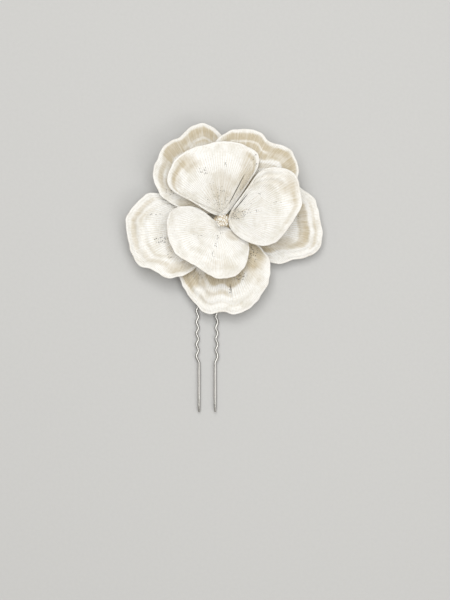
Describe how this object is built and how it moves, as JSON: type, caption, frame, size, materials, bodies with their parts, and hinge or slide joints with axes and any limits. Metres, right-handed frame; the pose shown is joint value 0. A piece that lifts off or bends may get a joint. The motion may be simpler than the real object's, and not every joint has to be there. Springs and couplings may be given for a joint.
{
  "type": "flower hairpin",
  "caption": "Cream fabric flower of embroidered wired petals on a felt back, sewn to a crimped steel U-shaped hairpin; petals bend, prongs spring.",
  "frame": {"origin": "middle of the flat rear face of the felt backing, on the flower's axis", "axes": "+Z out of the flower's face; the pin's prongs point along -Y; +X to the right seen from the front"},
  "size_m": [0.0903, 0.132, 0.0273],
  "materials": {
    "embroidered_cloth": "satin",
    "satin_stitch_edge": "satin",
    "wrapped_wire": "matte",
    "wool_felt": "matte",
    "sewing_thread": "satin",
    "pin_steel": "satin"
  },
  "bodies": {
    "back": {"backing_felt": "wool_felt", "channel_felt": "wool_felt", "felt_tongue": "wool_felt", "foundation_disc": "wool_felt", "rim_stitches": "sewing_thread", "pin_bend": "pin_steel", "pin_binding": "sewing_thread", "centre_pad": "wool_felt", "centre_stem": "sewing_thread", "centre_knots": "sewing_thread", "outer_tack_loops": "sewing_thread", "inner_tack_loops": "sewing_thread"},
    "outer_right_petal": {"outer_right_panel": "embroidered_cloth", "outer_right_edge": "satin_stitch_edge", "outer_right_stalk": "wrapped_wire"},
    "outer_bottom_petal": {"outer_bottom_panel": "embroidered_cloth", "outer_bottom_edge": "satin_stitch_edge", "outer_bottom_stalk": "wrapped_wire"},
    "outer_left_petal": {"outer_left_panel": "embroidered_cloth", "outer_left_edge": "satin_stitch_edge", "outer_left_stalk": "wrapped_wire"},
    "outer_top_left_petal": {"outer_top_left_panel": "embroidered_cloth", "outer_top_left_edge": "satin_stitch_edge", "outer_top_left_stalk": "wrapped_wire"},
    "outer_top_right_petal": {"outer_top_right_panel": "embroidered_cloth", "outer_top_right_edge": "satin_stitch_edge", "outer_top_right_stalk": "wrapped_wire"},
    "inner_bottom_petal": {"inner_bottom_panel": "embroidered_cloth", "inner_bottom_edge": "satin_stitch_edge", "inner_bottom_stalk": "wrapped_wire"},
    "inner_top_petal": {"inner_top_panel": "embroidered_cloth", "inner_top_edge": "satin_stitch_edge", "inner_top_stalk": "wrapped_wire"},
    "inner_right_petal": {"inner_right_panel": "embroidered_cloth", "inner_right_edge": "satin_stitch_edge", "inner_right_stalk": "wrapped_wire"},
    "pin_left": {"pin_leg_left": "pin_steel"},
    "pin_right": {"pin_leg_right": "pin_steel"}
  },
  "joints": [
    {"name": "outer_right_bend", "type": "hinge", "parent": "back", "child": "outer_right_petal", "pos_m": [0.00698, -0.00049, 0.0051], "axis": [-0.0698, -0.9976, 0], "range_deg": [-3, 3]},
    {"name": "outer_bottom_bend", "type": "hinge", "parent": "back", "child": "outer_bottom_petal", "pos_m": [0.00037, -0.00699, 0.0051], "axis": [-0.9986, -0.0523, 0], "range_deg": [-3, 3]},
    {"name": "outer_left_bend", "type": "hinge", "parent": "back", "child": "outer_left_petal", "pos_m": [-0.00689, -0.00122, 0.0051], "axis": [-0.1736, 0.9848, 0], "range_deg": [-3, 3]},
    {"name": "outer_top_left_bend", "type": "hinge", "parent": "back", "child": "outer_top_left_petal", "pos_m": [-0.00371, 0.00594, 0.0051], "axis": [0.848, 0.5299, 0], "range_deg": [-3, 3]},
    {"name": "outer_top_right_bend", "type": "hinge", "parent": "back", "child": "outer_top_right_petal", "pos_m": [0.00391, 0.0058, 0.0051], "axis": [0.829, -0.5592, 0], "range_deg": [-3, 3]},
    {"name": "inner_bottom_bend", "type": "hinge", "parent": "back", "child": "inner_bottom_petal", "pos_m": [-0.00191, -0.00305, 0.0119], "axis": [-0.848, 0.5299, 0], "range_deg": [-3, 6]},
    {"name": "inner_top_bend", "type": "hinge", "parent": "back", "child": "inner_top_petal", "pos_m": [-0.00075, 0.00352, 0.0119], "axis": [0.9781, 0.2079, 0], "range_deg": [-3, 6]},
    {"name": "inner_right_bend", "type": "hinge", "parent": "back", "child": "inner_right_petal", "pos_m": [0.00342, 0.00111, 0.0119], "axis": [0.309, -0.9511, 0], "range_deg": [-3, 6]},
    {"name": "pin_leg_left_flex", "type": "hinge", "parent": "back", "child": "pin_left", "pos_m": [-0.0116, -0.0112, 0.0019], "axis": [0, 0, -1], "range_deg": [-2, 3], "stiffness_Nm_per_rad": 0.12},
    {"name": "pin_leg_right_flex", "type": "hinge", "parent": "back", "child": "pin_right", "pos_m": [-0.0027, -0.0112, 0.0019], "axis": [0, 0, 1], "range_deg": [-2, 3], "stiffness_Nm_per_rad": 0.12}
  ]
}
